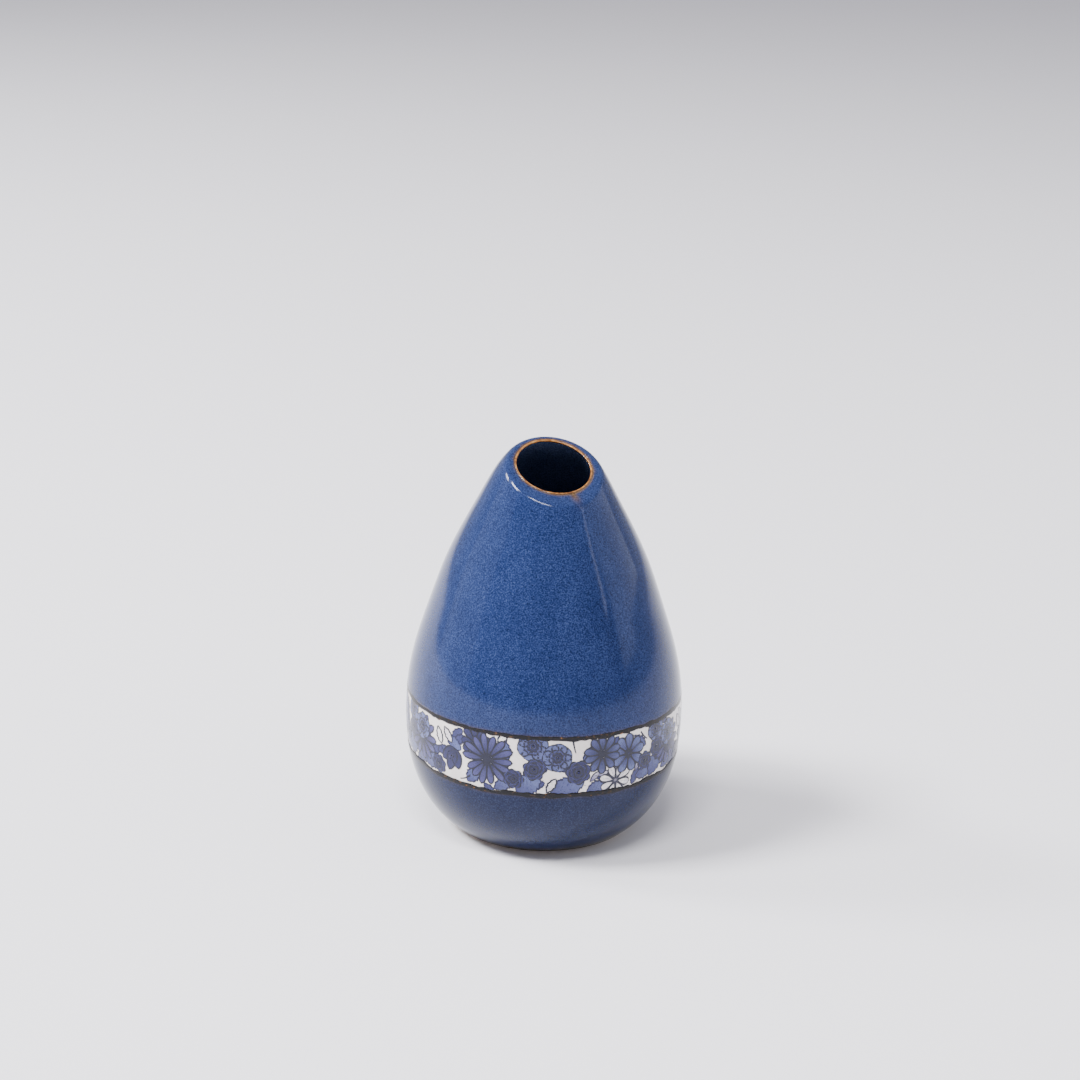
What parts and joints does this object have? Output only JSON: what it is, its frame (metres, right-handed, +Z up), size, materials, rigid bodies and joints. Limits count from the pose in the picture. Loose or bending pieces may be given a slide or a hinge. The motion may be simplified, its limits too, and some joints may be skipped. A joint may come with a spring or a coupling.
{
  "type": "ceramic bud vase",
  "caption": "Egg-shaped stoneware bud vase with a slanted open mouth, blue glaze and a low band of printed flowers.",
  "frame": {"origin": "the vase's axis where it meets the plane it stands on, in the middle of the foot ring", "axes": "+Z up along the axis of the turned body, -Y the front, towards which the mouth slopes down, +X to the right seen from the front"},
  "size_m": [0.0758, 0.0758, 0.1077],
  "materials": {
    "stoneware": "bare fired stoneware, matt",
    "blue_glaze": "glossy mottled royal blue glaze",
    "blue_glaze_low": "glossy mottled royal blue glaze, a little greyer",
    "liner_glaze": "glossy dark blue glaze",
    "amber_break": "glossy amber brown where the glaze runs thin",
    "foot_break": "dark brown edge of the glaze",
    "dark_break_low": "dark olive brown line, glossy",
    "dark_break_high": "dark olive brown line, glossy",
    "white_ground": "glossy warm white glaze",
    "printed_film": "glossy printed film, blue and violet flowers on white"
  },
  "bodies": {
    "root": {"clay_body": "stoneware", "shoulder_glaze": "blue_glaze", "heel_glaze": "blue_glaze_low", "liner_glaze": "liner_glaze", "lip_line": "amber_break", "foot_line": "foot_break", "lower_band_line": "dark_break_low", "upper_band_line": "dark_break_high", "band_ground": "white_ground", "flower_transfer": "printed_film"}
  },
  "joints": []
}
